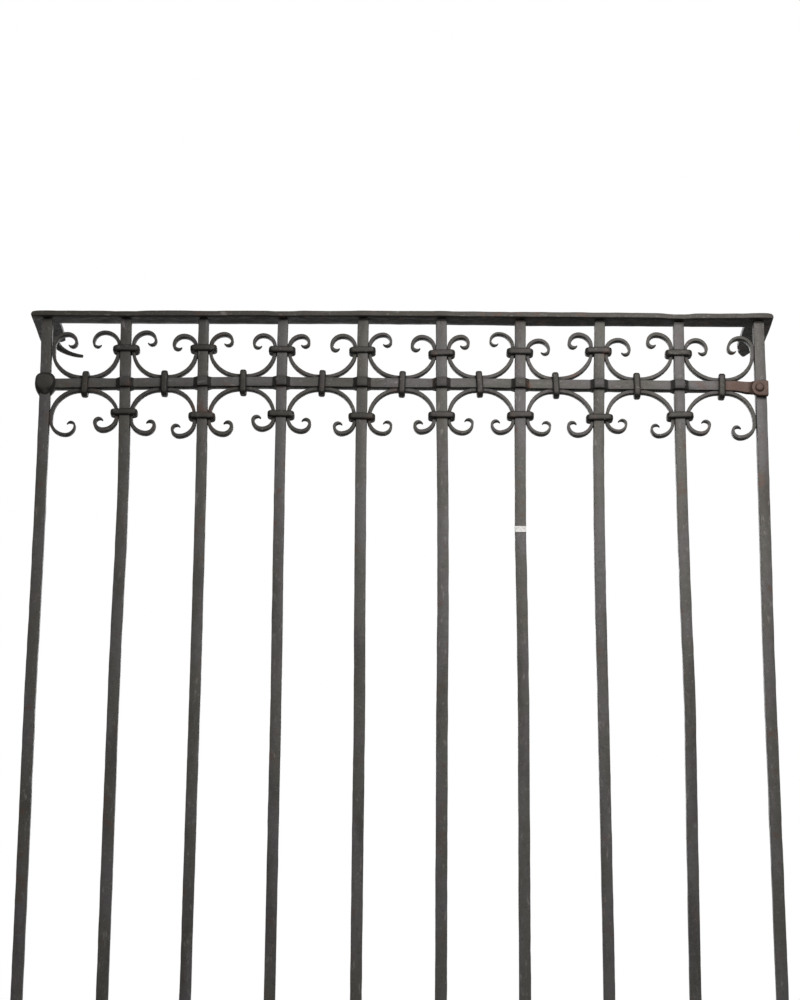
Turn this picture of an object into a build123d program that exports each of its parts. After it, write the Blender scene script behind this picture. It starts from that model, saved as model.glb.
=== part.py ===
from build123d import *
import os
from math import cos, radians, sin

# A hand-forged window grille in millimetres. X runs along the wall, Y goes back
# into it and Z is up. The origin is on the sill face, midway between the end bars
# and in the plane of the bars' centres.

# Overall height, sill face to the top of the upper flat
grille_height = 1650.0

# Square bars. Each one strayed a little from the even pitch when it was set by eye.
bar_count = 10
bar_pitch = 150.0
bar_stray = [1.6, 2.3, -1.2, -2.3, -0.1, 0.1, -1.5, -2.6, -0.9, 2.8]
bar_size = 20.0
bar_edge_bevel = 2.0

# Ends of the bars: a shouldered tenon goes through each flat, peened over on top
tenon_size = 14.0
shoulder_gap = 4.5
peened_head_size = 23.0
peened_head_height = 3.0

# Flats along the top and the sill, and their arms into the wall
flat_thickness = 10.0
flat_width = 46.0
flat_front = 23.0
flat_overhang = 30.0
punch_swell = 4.0
punch_swell_length = 56.0
punch_swell_crown = 24.0
arm_width = 50.0
arm_length = 100.0

# Split tail ends of the arms
tine_reach = 87.0
tine_swing = 24.0
tine_root = 13.0
tine_tip = 8.0
stub_reach = 70.0

# Rails with an eye forged round each bar
rail_drop = 129.0
rail_height = 18.0
rail_depth = 20.0
eye_cheek = 9.0
eye_flat = 20.0
eye_slope = 10.0
knuckle_width = 40.0
knuckle_height = 44.0
knuckle_sag = 4.0
knuckle_cheek = 10.0
knuckle_chamfer = 9.0

# Scrolls of flat bar, a C with both ends curled in
scroll_width = 14.0
scroll_thickness = 6.0
scroll_neck_thickness = 4.0
scroll_tip_thickness = 5.4
scroll_shoulder = 46.0
scroll_bend = 45.0
curl_crown_radius = 25.0
curl_side_radius = 13.3
curl_hook_radius = 7.6
curl_hook_turn = 150.0

# Collars that clamp the scrolls to the bars and to the rails
collar_width = 12.5
collar_wall = 5.0
collar_side = 9.0
collar_bevel = 6.5
collar_ease = 2.0

# Strap riveted over the lost right-hand end of the top rail, sagging to its palm
strap_thickness = 10.0
strap_level_run = 26.0
strap_sag = 6.5
strap_palm_height = 30.0
strap_palm_overlap = 3.5
strap_palm_corner = 6.0
strap_bend_run = 14.0
rivet_radius = 5.0
rivet_head_radius = 8.7
rivet_head_height = 4.5
rivet_head_facets = 12

# Clearances between pieces
tenon_clearance = 0.2
eye_clearance = 0.3
scroll_clearance = 0.2
collar_clearance = 0.2
rivet_clearance = 0.2
strap_clearance = 0.2

# Levels and places worked out from the sizes above
bar_half = bar_size / 2
bar_xs = [(i - (bar_count - 1) / 2) * bar_pitch + bar_stray[i] for i in range(bar_count)]
frame_half = (bar_count - 1) / 2 * bar_pitch + flat_overhang
flat_rear = flat_width - flat_front
top_underside = grille_height - flat_thickness
rail_levels = {"top": top_underside - rail_drop, "sill": flat_thickness + rail_drop}
rail_end_x = (bar_xs[-2] + bar_xs[-1]) / 2


def plan(points):
    """Closed outline in the horizontal plane."""
    return make_face(Polyline(*points, close=True))


def slab(face, low, high):
    """Horizontal outline given a thickness between two levels."""
    return Pos(0, 0, low) * extrude(face, high - low, dir=(0, 0, 1))


def box_between(x, y, z):
    """Box given by its two ends along each axis."""
    size = [pair[1] - pair[0] for pair in (x, y, z)]
    middle = [(pair[1] + pair[0]) / 2 for pair in (x, y, z)]
    return Pos(*middle) * Box(*size)


def square_hole(x, side, low, high):
    """Square cutter that goes right through a piece at a bar's place."""
    return box_between((x - side / 2, x + side / 2), (-side / 2, side / 2), (low - 1, high + 1))


def bar(x):
    """Square bar with bevelled edges, a tenon at each end and a peened head on top."""
    section = chamfer(Rectangle(bar_size, bar_size).vertices(), bar_edge_bevel)
    body = slab(section, flat_thickness + shoulder_gap, top_underside - shoulder_gap)
    tenon = slab(Rectangle(tenon_size, tenon_size), 0, grille_height)
    head = slab(Rectangle(peened_head_size, peened_head_size), 0, peened_head_height)
    head = chamfer(head.faces().sort_by(Axis.Z)[-1].edges(), peened_head_height - 0.8)
    return Pos(x, 0, 0) * (body + tenon + Pos(0, 0, grille_height) * head)


def swelling(x, edge, side):
    """Bulge that the punch pushed out of a flat's edge, on side -1 or 1."""
    foot = punch_swell_length / 2
    crown = punch_swell_crown / 2
    out = edge + side * punch_swell
    bulge = [(-foot, 0), (-foot, edge), (-crown, out), (crown, out), (foot, edge), (foot, 0)]
    return Pos(x, 0) * plan(bulge)


def front_flat(low):
    """Flat bar along the front, swollen round a square hole punched for each tenon."""
    middle = (flat_rear - flat_front) / 2
    outline = Pos(0, middle) * Rectangle(2 * frame_half, flat_width)
    for x in bar_xs:
        outline += swelling(x, -flat_front, -1)
    for x in bar_xs[1:-1]:
        outline += swelling(x, flat_rear, 1)
    flat = slab(outline, low, low + flat_thickness)
    for x in bar_xs:
        flat -= square_hole(x, tenon_size + 2 * tenon_clearance, low, low + flat_thickness)
    return flat


def tine(root, side_step):
    """Tapered tine that swings in from an arm's end, as its two curved sides."""
    tip = root + tine_reach
    near = arm_width - side_step
    outer = ThreePointArc(
        (near - tine_root, root),
        (near + tine_swing * 0.1, root + tine_reach * 0.64),
        (near + tine_swing + tine_root, tip),
    )
    inner = ThreePointArc(
        (near + tine_swing + tine_root + 2, tip - tine_tip),
        (near + tine_swing * 0.58, root + tine_reach * 0.6),
        (near, root),
    )
    return outer, inner


def tailed_outline(side_step, outer_end):
    """Arm outline whose tail has a tine, with the given points before its root."""
    root = flat_rear + arm_length
    outer, inner = tine(root, side_step)
    start = Polyline((arm_width, flat_rear), (0, flat_rear), *outer_end, outer @ 0)
    blunt = Line(outer @ 1, inner @ 0)
    if side_step > 0:
        corner = (arm_width - side_step / 2, root - 3)
        broken = [corner, (arm_width - 2, root - 8), (arm_width, root - 40)]
    else:
        broken = []
    finish = Polyline(inner @ 1, *broken, (arm_width, flat_rear))
    return make_face(Wire([*start.edges(), outer, blunt, inner, *finish.edges()]))


def hooked_arm_outline():
    """Tail whose long tine survives while both its sides are broken off."""
    end = flat_rear + arm_length
    return tailed_outline(16.0, [(0, end), (8, end + 8), (14, end + 1)])


def whole_arm_outline():
    """Tail in its first form, with a straight outer tine and a curved inner one."""
    end = flat_rear + arm_length
    blunt_end = end + stub_reach
    return tailed_outline(0.0, [(0, blunt_end), (arm_width / 4, blunt_end), (arm_width / 2, end)])


def stubbed_arm_outline():
    """Tail broken off to two short ragged stubs."""
    end = flat_rear + arm_length
    tip = end + stub_reach
    corners = [
        (arm_width, flat_rear),
        (0, flat_rear),
        (0, end - 5),
        (15, tip - 33),
        (30, tip),
        (42, tip - 28),
        (37, tip - 43),
        (46, tip - 52),
        (arm_width, end - 17),
    ]
    return plan(corners)


def arm(outline, side, low):
    """Arm at the left, side -1, or the right, side 1, cut from its flat outline."""
    piece = slab(outline, low, low + flat_thickness)
    if side > 0:
        piece = mirror(piece, Plane.YZ)
    return Pos(side * frame_half, 0, 0) * piece


def eye_outline(x):
    """Eye swollen out round a bar, seen from above."""
    half = eye_flat / 2
    foot = half + eye_slope
    skin = rail_depth / 2
    cheek = bar_half + eye_cheek
    quarter = [(foot, skin), (half, cheek)]
    mirrored = [(-a, b) for a, b in reversed(quarter)]
    back = quarter + mirrored
    front = [(a, -b) for a, b in reversed(back)]
    return Pos(x, 0) * plan(back + front)


def knuckle(x, level):
    """Heavy boss that ends a rail round its outer bar, centred on the given level."""
    depth = 2 * (bar_half + knuckle_cheek)
    boss = Box(knuckle_width, depth, knuckle_height)
    return Pos(x, 0, level) * chamfer(boss.edges(), knuckle_chamfer)


def rail(level, left_x, right_x, knuckle_xs, sag):
    """Rail between two ends, pierced by an eye for each bar that it passes.

    Its knuckles are centred below its own middle by the sag.
    """
    strip = Pos((left_x + right_x) / 2, 0) * Rectangle(right_x - left_x, rail_depth)
    passed = [x for x in bar_xs if left_x <= x <= right_x]
    for x in passed:
        if x not in knuckle_xs:
            strip += eye_outline(x)
    piece = slab(strip, level - rail_height / 2, level + rail_height / 2)
    for x in knuckle_xs:
        piece += knuckle(x, level - sag)
    reach = knuckle_height / 2 + abs(sag)
    for x in passed:
        piece -= square_hole(x, bar_size + 2 * eye_clearance, level - reach, level + reach)
    return piece


def scroll_runs(reach):
    """Half of a scroll's centre line, as pairs of radius and turn, or length and none.

    The two radii of the bow follow from where it starts and where it meets the bar.
    """
    start = collar_width / 2 + collar_ease
    s = sin(radians(scroll_bend))
    c = cos(radians(scroll_bend))
    across = reach - start
    rise = scroll_shoulder - scroll_thickness / 2
    spread = s * c - (1 - s) * (1 - c)
    low_radius = (across * c - rise * (1 - s)) / spread
    high_radius = (rise * s - across * (1 - c)) / spread
    return [
        (start, 0.0, 1),
        (low_radius, scroll_bend, 2),
        (high_radius, 90.0 - scroll_bend, 2),
        (collar_width + 2 * collar_ease, 0.0, 1),
        (curl_crown_radius, 90.0, 3),
        (curl_side_radius, 90.0, 3),
        (curl_hook_radius, curl_hook_turn, 3),
    ]


def scroll_half(reach):
    """Outer and inner edge points of a half scroll, from its middle to its tip."""
    x, z, heading = 0.0, scroll_thickness / 2, 0.0
    stations = [(x, z, heading, scroll_thickness)]
    for size, turn, steps in scroll_runs(reach):
        for _ in range(steps):
            if turn == 0:
                x += size * cos(radians(heading))
                z += size * sin(radians(heading))
            else:
                new_heading = heading + turn / steps
                x += size * (sin(radians(new_heading)) - sin(radians(heading)))
                z += size * (cos(radians(heading)) - cos(radians(new_heading)))
                heading = new_heading
            curled = max(0.0, heading - 90.0) / (90.0 + curl_hook_turn)
            thickness = scroll_thickness + (scroll_neck_thickness - scroll_thickness) * curled
            stations.append((x, z, heading, thickness))
    x, z, heading, _ = stations[-1]
    stations[-1] = (x, z, heading, scroll_tip_thickness)
    outer, inner = [], []
    for x, z, heading, thickness in stations:
        across = (sin(radians(heading)) * thickness / 2, cos(radians(heading)) * thickness / 2)
        outer.append((x + across[0], z - across[1]))
        inner.append((x - across[0], z + across[1]))
    return outer, inner


def scroll(left_bar, right_bar, level, up):
    """Scroll between two bars, above the rail for up 1 or below it for up -1."""
    gap_half = (right_bar - left_bar) / 2 - bar_half
    outer, inner = scroll_half(gap_half - scroll_clearance - scroll_thickness / 2)
    right_side = outer + inner[::-1]
    left_side = [(-x, z) for x, z in reversed(right_side)]
    middle = (left_bar + right_bar) / 2
    foot = level + up * (rail_height / 2 + scroll_clearance)
    outline = [(middle + x, foot + up * z) for x, z in right_side[:-1] + left_side[1:]]
    face = make_face(Polyline(*[(x, 0, z) for x, z in outline], close=True))
    return extrude(face, scroll_width / 2, dir=(0, 1, 0), both=True)


def collar_ring(inner_long, inner_deep):
    """Bevelled ring lying flat, long side along X, centred on the origin."""
    long_side = inner_long + 2 * collar_side
    deep_side = inner_deep + 2 * collar_wall
    ring = chamfer(Rectangle(long_side, deep_side).vertices(), collar_bevel)
    ring -= Rectangle(inner_long, inner_deep)
    return extrude(ring, collar_width / 2, both=True)


def clamp_ring(core_long, core_deep):
    """Collar round a core and the scroll on each long side of it."""
    scroll_room = scroll_thickness + scroll_clearance + collar_clearance
    deep = max(core_deep, scroll_width) + 2 * collar_clearance
    return collar_ring(core_long + 2 * scroll_room, deep)


def bar_collars(level):
    """Collars on the inner bars, above and below a rail."""
    shoulder = rail_height / 2 + scroll_clearance + scroll_shoulder
    offset = shoulder + collar_ease + collar_width / 2
    ring = clamp_ring(bar_size, bar_size)
    return [Pos(x, 0, level + up * offset) * ring for x in bar_xs[1:-1] for up in (1, -1)]


def rail_collars(level):
    """Collars round a rail at the middle of each bay."""
    ring = Rot(0, 90, 0) * clamp_ring(rail_height, rail_depth)
    middles = [(a + b) / 2 for a, b in zip(bar_xs, bar_xs[1:])]
    return [Pos(x, 0, level) * ring for x in middles]


def repair_strap(level):
    """Strap from the rail's broken end that bends out to a palm on the last bar."""
    bar_x = bar_xs[-1]
    front = -rail_depth / 2
    seat = -bar_half - strap_clearance
    end_x = bar_x + bar_half + strap_palm_overlap
    bent_x = bar_x - bar_half - strap_palm_overlap
    straight_x = bent_x - strap_bend_run
    top_view = plan(
        [
            (rail_end_x, front),
            (straight_x, front),
            (bent_x, seat - strap_thickness),
            (end_x, seat - strap_thickness),
            (end_x, seat),
            (bent_x, seat),
            (straight_x, front + strap_thickness),
            (rail_end_x, front + strap_thickness),
        ]
    )
    half = strap_palm_height / 2
    neck = rail_height / 2
    corner = strap_palm_corner
    level_x = rail_end_x + strap_level_run
    sag_at_bend = strap_sag * (straight_x - level_x) / (bent_x + corner - level_x)
    edge = [
        (rail_end_x, 0, neck),
        (level_x, 0, neck),
        (straight_x, sag_at_bend, neck),
        (bent_x + corner, strap_sag, half),
        (end_x - corner, strap_sag, half),
        (end_x, strap_sag, half - corner),
    ]
    upper = [(x, 0, level - sag + z) for x, sag, z in edge]
    lower = [(x, 0, level - sag - z) for x, sag, z in reversed(edge)]
    deep = make_face(Polyline(*upper, *lower, close=True))
    low = level - strap_sag - half
    strap = slab(top_view, low, level + half) & extrude(deep, 4 * bar_size, both=True)
    return strap - rivet_hole(level - strap_sag)


def along_y(radius, start, end):
    """Round bar along Y between two depths, on the Z axis."""
    return Pos(0, (start + end) / 2, 0) * Rot(90, 0, 0) * Cylinder(radius, end - start)


def rivet_hole(level):
    """Cutter for the rivet through the palm and the last bar."""
    drill = along_y(rivet_radius + rivet_clearance, -3 * bar_size, 3 * bar_size)
    return Pos(bar_xs[-1], 0, level) * drill


def hammered_head(height):
    """Faceted head, as hammer blows leave it, standing on the XY plane."""
    head = extrude(RegularPolygon(rivet_head_radius, rivet_head_facets), height)
    return chamfer(head.faces().sort_by(Axis.Z)[-1].edges(), height * 0.6)


def rivet(level):
    """Rivet with a high head on the palm and a flatter one behind the bar."""
    face_y = -bar_half - strap_clearance - strap_thickness
    shank = along_y(rivet_radius, face_y, bar_half)
    front_head = Pos(0, face_y, 0) * Rot(90, 0, 0) * hammered_head(rivet_head_height)
    back_head = Pos(0, bar_half, 0) * Rot(-90, 0, 0) * hammered_head(rivet_head_height / 2)
    return Pos(bar_xs[-1], 0, level) * (shank + front_head + back_head)


def save(name, solids):
    """Write one node, with its solids in one file."""
    shape = Compound(children=[Part(s.wrapped) for s in solids]) if len(solids) > 1 else solids[0]
    export_step(shape, f"parts/{name}.step")


os.makedirs("parts", exist_ok=True)

# Flats and arms
arm_outlines = {
    "top": (hooked_arm_outline(), stubbed_arm_outline()),
    "sill": (whole_arm_outline(), whole_arm_outline()),
}
for band, low in (("top", top_underside), ("sill", 0.0)):
    left_outline, right_outline = arm_outlines[band]
    save(f"{band}_flat", [front_flat(low)])
    save(f"{band}_left_arm", [arm(left_outline, -1, low)])
    save(f"{band}_right_arm", [arm(right_outline, 1, low)])

# Bars, the last one drilled for the rivet
for i, x in enumerate(bar_xs):
    piece = bar(x)
    if i == bar_count - 1:
        piece -= rivet_hole(rail_levels["top"] - strap_sag)
    save(f"bar_{i + 1:02d}", [piece])

# Rails
first_x, last_x = bar_xs[0], bar_xs[-1]
top_level, sill_level = rail_levels["top"], rail_levels["sill"]
save("top_rail", [rail(top_level, first_x, rail_end_x, [first_x], knuckle_sag)])
save("sill_rail", [rail(sill_level, first_x, last_x, [first_x, last_x], -knuckle_sag)])
save("repair_strap", [repair_strap(top_level)])
save("strap_rivet", [rivet(top_level - strap_sag)])

# Scrolls and collars
for band, level in rail_levels.items():
    for i in range(bar_count - 1):
        pair = [scroll(bar_xs[i], bar_xs[i + 1], level, up) for up in (1, -1)]
        save(f"{band}_scrolls_{i + 1}", pair)
    save(f"{band}_bar_collars", bar_collars(level))
    save(f"{band}_rail_collars", rail_collars(level))
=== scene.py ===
"""Looks of a hand-forged iron window grille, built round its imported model.

Lengths are in metres, unless a name ends in _mm or its description says millimetres or
mm. X runs along the wall, Y goes back into it and Z is up. The origin is on the sill
face, in the plane of the bars' centres.
"""

import logging
import math
import random
from dataclasses import dataclass
from enum import Enum
from typing import Callable, Sequence

import bmesh
import bpy
from mathutils import Matrix, Vector


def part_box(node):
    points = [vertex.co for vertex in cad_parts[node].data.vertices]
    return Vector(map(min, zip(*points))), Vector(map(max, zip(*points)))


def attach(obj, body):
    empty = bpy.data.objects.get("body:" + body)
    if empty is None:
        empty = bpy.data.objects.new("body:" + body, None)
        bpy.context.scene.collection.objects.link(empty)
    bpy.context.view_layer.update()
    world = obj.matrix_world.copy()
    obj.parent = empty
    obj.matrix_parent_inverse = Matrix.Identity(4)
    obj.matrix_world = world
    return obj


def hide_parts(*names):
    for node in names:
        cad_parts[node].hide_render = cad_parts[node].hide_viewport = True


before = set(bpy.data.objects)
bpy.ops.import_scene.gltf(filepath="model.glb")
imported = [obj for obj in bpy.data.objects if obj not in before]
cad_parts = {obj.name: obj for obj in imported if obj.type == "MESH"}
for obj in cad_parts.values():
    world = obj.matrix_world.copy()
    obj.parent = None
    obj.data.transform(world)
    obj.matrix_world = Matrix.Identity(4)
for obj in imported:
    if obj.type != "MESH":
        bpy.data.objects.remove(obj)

log = logging.getLogger("window_grille")
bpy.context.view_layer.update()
MM = 0.001
# Two places this close are one
CLOSE = 1e-5
BAR_COUNT = 10
TOP_RAIL = 1.511
SILL_RAIL = 0.139
TOP_UNDERSIDE = 1.640
SILL_UNDERSIDE = 0.9 * MM

Triple = tuple[float, float, float]
Test = Callable[[Vector, Vector], bool]


def linear(hex_code: str) -> tuple[float, float, float, float]:
    """Turn an sRGB hex colour into a linear one.

    Args:
        hex_code: Six hex digits after a hash sign.

    Returns:
        Linear red, green and blue, and a full alpha.
    """
    values = (int(hex_code[start : start + 2], 16) / 255 for start in (1, 3, 5))
    return *(v / 12.92 if v <= 0.04045 else ((v + 0.055) / 1.055) ** 2.4 for v in values), 1.0


def add_node(
    tree: bpy.types.NodeTree, kind: str, inputs: dict | None = None, **settings: object
) -> bpy.types.Node:
    """Add a shader node with its settings and links.

    Args:
        tree: Node tree that gets the node.
        kind: Type name of the node, without the word ShaderNode.
        inputs: Value, or node or output socket to link from, by the input's name or number.
        **settings: Values of the node's own properties.

    Returns:
        The new node.
    """
    node = tree.nodes.new(f"ShaderNode{kind}")
    for name, value in settings.items():
        setattr(node, name, value)
    for key, value in (inputs or {}).items():
        if isinstance(value, bpy.types.Node):
            value = value.outputs[0]
        if isinstance(value, bpy.types.NodeSocket):
            tree.links.new(value, node.inputs[key])
        else:
            node.inputs[key].default_value = value
    return node


def empty_tree(owner: bpy.types.Material | bpy.types.World) -> bpy.types.NodeTree:
    """Give a material or a world an empty node tree.

    Args:
        owner: The material or world.

    Returns:
        Its node tree.
    """
    owner.use_nodes = True
    owner.node_tree.nodes.clear()
    return owner.node_tree


def bar_x(number: int) -> float:
    """Place along the wall of a bar, counted from 1 at the left."""
    low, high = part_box(f"bar_{number:02d}")
    return (low.x + high.x) / 2


def select_alone(obj: bpy.types.Object) -> None:
    """Select one object and make it active.

    Args:
        obj: The object.
    """
    bpy.ops.object.select_all(action="DESELECT")
    obj.select_set(True)
    bpy.context.view_layer.objects.active = obj


class Pick(Enum):
    """What a selection in edit mode is made of."""

    FACES = "FACE"
    EDGES = "EDGE"
    CORNERS = "VERT"


class Workpiece:
    """One piece under the modelling operators, from a primitive to a finished mesh."""

    def __init__(self, name: str) -> None:
        """Take over the active object, and settle its place in its mesh.

        Args:
            name: New name of the object and its mesh.
        """
        self.obj = bpy.context.object
        self.obj.name = self.obj.data.name = name
        bpy.ops.object.transform_apply(location=True, rotation=True, scale=True)

    @classmethod
    def block(cls, name: str, size: Sequence[float], centre: Sequence[float]) -> "Workpiece":
        """Start from a block.

        Args:
            name: Name of the object.
            size: Length of the block along each axis.
            centre: Middle of the block.

        Returns:
            The new piece, open in edit mode.
        """
        bpy.ops.object.select_all(action="DESELECT")
        bpy.ops.mesh.primitive_cube_add(size=1.0, location=centre, scale=size)
        piece = cls(name)
        piece.open()
        return piece

    def open(self) -> None:
        """Go into edit mode on this piece alone, with all of it selected."""
        bpy.ops.object.mode_set(mode="EDIT")
        bpy.ops.mesh.select_all(action="SELECT")

    def close(self) -> None:
        """Go back to object mode."""
        bpy.ops.object.mode_set(mode="OBJECT")

    def mend(self) -> None:
        """Merge doubles, point every face outwards and go back to object mode."""
        bpy.ops.mesh.select_all(action="SELECT")
        bpy.ops.mesh.remove_doubles(threshold=CLOSE)
        bpy.ops.mesh.normals_make_consistent(inside=False)
        self.close()

    def pick(self, kind: Pick, test: Test) -> None:
        """Select what passes a test, and nothing else.

        Args:
            kind: Faces, edges or corners.
            test: Given a part's middle and its normal, or an edge's direction.
        """
        bpy.ops.mesh.select_mode(type=kind.value)
        bpy.ops.mesh.select_all(action="DESELECT")
        shape = bmesh.from_edit_mesh(self.obj.data)
        if kind is Pick.FACES:
            parts = [(face, face.calc_center_median(), face.normal) for face in shape.faces]
        elif kind is Pick.EDGES:
            ends = [(edge, *(corner.co for corner in edge.verts)) for edge in shape.edges]
            parts = [(edge, (a + b) / 2, (b - a).normalized()) for edge, a, b in ends]
        else:
            parts = [(corner, corner.co, corner.normal) for corner in shape.verts]
        for part, middle, way in parts:
            if test(middle, way):
                part.select_set(True)
        shape.select_flush_mode()
        bmesh.update_edit_mesh(self.obj.data)

    def pick_end(self, axis: int, way: int) -> None:
        """Select the faces that look along an axis, forwards for 1 and backwards for -1."""
        self.pick(Pick.FACES, lambda m, n: n[axis] * way > 0.9)

    def divide_along(self, axis: int, *parts: int) -> None:
        """Cut every edge that runs along an axis into equal parts.

        Args:
            axis: 0 for X, 1 for Y and 2 for Z.
            *parts: Numbers of parts, each of which cuts the parts before it.
        """
        for number in parts:
            self.pick(Pick.EDGES, lambda middle, along: abs(along[axis]) > 0.99)
            bpy.ops.mesh.subdivide(number_cuts=number - 1)

    def cut_across(self, x: float) -> None:
        """Cut the whole piece across the X axis."""
        bpy.ops.mesh.select_all(action="SELECT")
        bpy.ops.mesh.bisect(plane_co=(x, 0, 0), plane_no=(1, 0, 0), use_fill=False)

    def grow(self, by: Triple, about: Sequence[float]) -> None:
        """Scale the selection along each axis about a point."""
        bpy.ops.transform.resize(value=by, center_override=about)

    def extrude(
        self, by: Sequence[float], grow: Triple = (1, 1, 1), about: Sequence[float] = ()
    ) -> None:
        """Extrude the selected faces, and scale what came out.

        Args:
            by: Way the new faces move.
            grow: Scale of the new faces along each axis.
            about: Point that the scale works from, for a scale other than one.
        """
        bpy.ops.mesh.extrude_region_move(TRANSFORM_OT_translate={"value": by})
        if grow != (1, 1, 1):
            self.grow(grow, about)

    def swing(self, angle: float, pivot: Vector, axis: Triple) -> None:
        """Extrude the selected faces round a pivot.

        Args:
            angle: Turn in radians, against the right-hand rule.
            pivot: Point that the faces turn about.
            axis: Axis that they turn about.
        """
        bpy.ops.mesh.spin(
            steps=1, dupli=False, angle=angle, use_auto_merge=False, center=pivot, axis=axis
        )

    def move(self, by: Sequence[float], reach: float = 0.0) -> None:
        """Move the selection, and with a reach also what lies near it.

        Args:
            by: Way the selection moves.
            reach: Distance over which the move fades out.
        """
        bpy.ops.transform.translate(
            value=by,
            use_proportional_edit=reach > 0,
            proportional_edit_falloff="SMOOTH",
            proportional_size=reach or 1.0,
        )

    def modify(self, kind: str, **settings: object) -> None:
        """Add a modifier in object mode and apply it.

        Args:
            kind: Type name of the modifier.
            **settings: Values of its properties.
        """
        modifier = self.obj.modifiers.new(kind.title(), kind)
        for name, value in settings.items():
            setattr(modifier, name, value)
        bpy.ops.object.modifier_apply(modifier=modifier.name)

    def combine(self, other: "Workpiece", operation: str) -> None:
        """Weld another closed piece on, or cut it away, and discard it.

        Args:
            other: The other piece.
            operation: UNION or DIFFERENCE.
        """
        select_alone(self.obj)
        self.modify("BOOLEAN", object=other.obj, operation=operation, solver="EXACT")
        other.discard()

    def bend_in_cage(
        self,
        centre: Sequence[float],
        size: Sequence[float],
        counts: tuple[int, int, int],
        axis: int,
        strays_mm: Sequence[float],
    ) -> None:
        """Bend the closed piece by the points of a cage round it.

        Args:
            centre: Middle of the cage.
            size: Length of the cage along each axis.
            counts: Number of its points along each axis.
            axis: Axis that the points move along.
            strays_mm: How far each point moves, with X running fastest and Z slowest.
        """
        bpy.ops.object.add(type="LATTICE", location=centre)
        cage = bpy.context.object
        cage.scale = size
        lattice = cage.data
        lattice.points_u, lattice.points_v, lattice.points_w = counts
        lattice.interpolation_type_u = lattice.interpolation_type_w = "KEY_CATMULL_ROM"
        lattice.interpolation_type_v = "KEY_LINEAR"
        for point, stray in zip(lattice.points, strays_mm):
            shift = Vector((0, 0, 0))
            shift[axis] = stray * MM / size[axis]
            point.co_deform = point.co_deform + shift
        bpy.context.view_layer.update()
        select_alone(self.obj)
        self.modify("LATTICE", object=cage)
        bpy.data.objects.remove(cage, do_unlink=True)

    def ease_edges(self, width: float, angle: float = 35.0, segments: int = 2) -> None:
        """Round the closed piece's edges.

        Args:
            width: Width of the rounding.
            angle: Turn in degrees from which an edge is rounded.
            segments: Number of faces across the rounding.
        """
        self.modify(
            "BEVEL",
            width=width,
            segments=segments,
            limit_method="ANGLE",
            angle_limit=math.radians(angle),
            use_clamp_overlap=True,
        )

    def hammer(self, grain_mm: float, depth_mm: float) -> None:
        """Push the closed piece's surface in and out as hammer blows leave it.

        Args:
            grain_mm: Distance from one blow to the next.
            depth_mm: Height between the highest and the deepest place.
        """
        name = f"hammer blows {grain_mm} mm"
        blows = bpy.data.textures.get(name) or bpy.data.textures.new(name, type="CLOUDS")
        blows.noise_scale = grain_mm * MM
        blows.noise_depth = 1
        self.modify(
            "DISPLACE", texture=blows, texture_coords="LOCAL", strength=depth_mm * MM, mid_level=0.5
        )

    def copy(self, name: str, place: Matrix) -> "Workpiece":
        """Copy the closed piece, mesh and all, to a place that goes into the mesh.

        Args:
            name: Name of the copy.
            place: Turn and shift from this piece to the copy.

        Returns:
            The copy, selected and active.
        """
        select_alone(self.obj)
        bpy.ops.object.duplicate(linked=False)
        bpy.context.object.matrix_world = place
        return Workpiece(name)

    def discard(self) -> None:
        """Take the piece out of the scene."""
        bpy.data.objects.remove(self.obj, do_unlink=True)


def join(name: str, pieces: Sequence[Workpiece]) -> Workpiece:
    """Join closed pieces into one object.

    Args:
        name: Name of the joined piece.
        pieces: The pieces, of which the first takes in the others.

    Returns:
        The joined piece.
    """
    select_alone(pieces[0].obj)
    for piece in pieces:
        piece.obj.select_set(True)
    bpy.ops.object.join()
    return Workpiece(name)


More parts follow.
